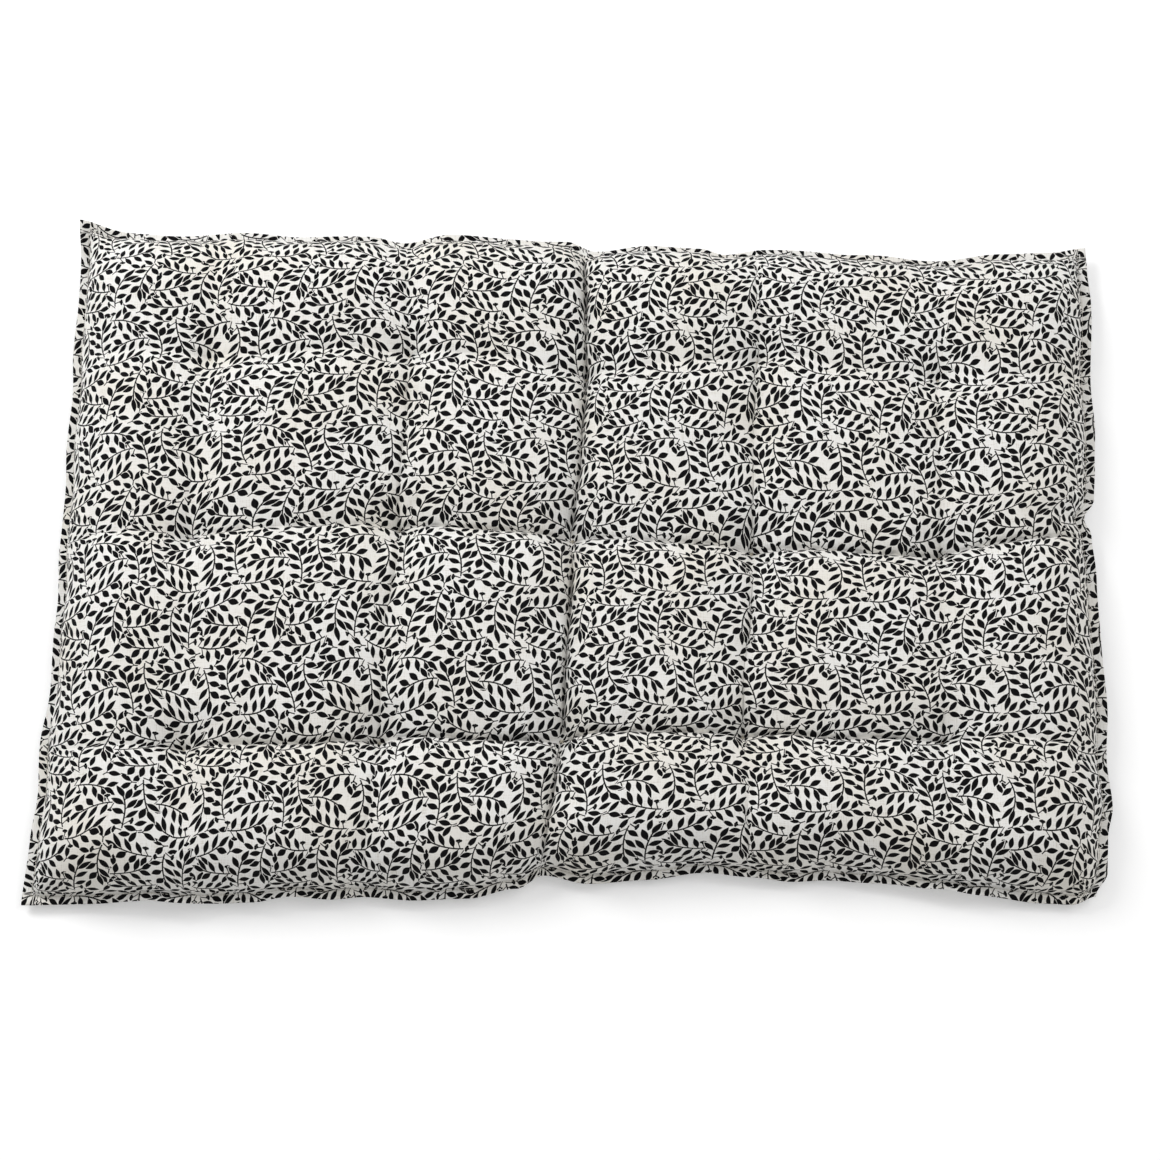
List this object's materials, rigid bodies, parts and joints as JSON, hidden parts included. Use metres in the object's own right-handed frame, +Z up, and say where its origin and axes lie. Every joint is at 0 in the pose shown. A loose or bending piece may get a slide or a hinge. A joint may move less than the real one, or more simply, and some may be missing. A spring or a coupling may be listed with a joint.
{
  "type": "futon mattress",
  "caption": "Tufted cotton floor mattress in a leaf-print cover with a flat flange all round, which folds in half along its middle row of tufts.",
  "frame": {"origin": "centre of the underside, on the floor", "axes": "+X along the length, across the fold; +Y along the fold, away from the near long side; +Z up"},
  "size_m": [1.2, 0.8, 0.084],
  "materials": {
    "print_cotton": "plain-woven cream cotton printed with small black leaf sprigs, matt",
    "carded_cotton": "loose carded cotton batting",
    "core_cotton": "firm needled cotton felt",
    "twine": "waxed cotton tufting twine"
  },
  "bodies": {
    "left_half": {"top_cover_left": "print_cotton", "bottom_cover_left": "print_cotton", "upper_batting_left": "carded_cotton", "core_batting_left": "core_cotton", "lower_batting_left": "carded_cotton", "tuft_tie_1_1": "twine", "tuft_tie_1_2": "twine", "tuft_tie_1_3": "twine", "tuft_tie_2_1": "twine", "tuft_tie_2_2": "twine", "tuft_tie_2_3": "twine", "tuft_tie_3_1": "twine", "tuft_tie_3_2": "twine", "tuft_tie_3_3": "twine"},
    "right_half": {"top_cover_right": "print_cotton", "bottom_cover_right": "print_cotton", "upper_batting_right": "carded_cotton", "core_batting_right": "core_cotton", "lower_batting_right": "carded_cotton", "tuft_tie_4_1": "twine", "tuft_tie_4_2": "twine", "tuft_tie_4_3": "twine", "tuft_tie_5_1": "twine", "tuft_tie_5_2": "twine", "tuft_tie_5_3": "twine"}
  },
  "joints": [
    {"name": "centre_fold", "type": "hinge", "parent": "left_half", "child": "right_half", "pos_m": [0, 0, 0.0845], "axis": [0, -1, 0], "range_deg": [0, 180]}
  ]
}
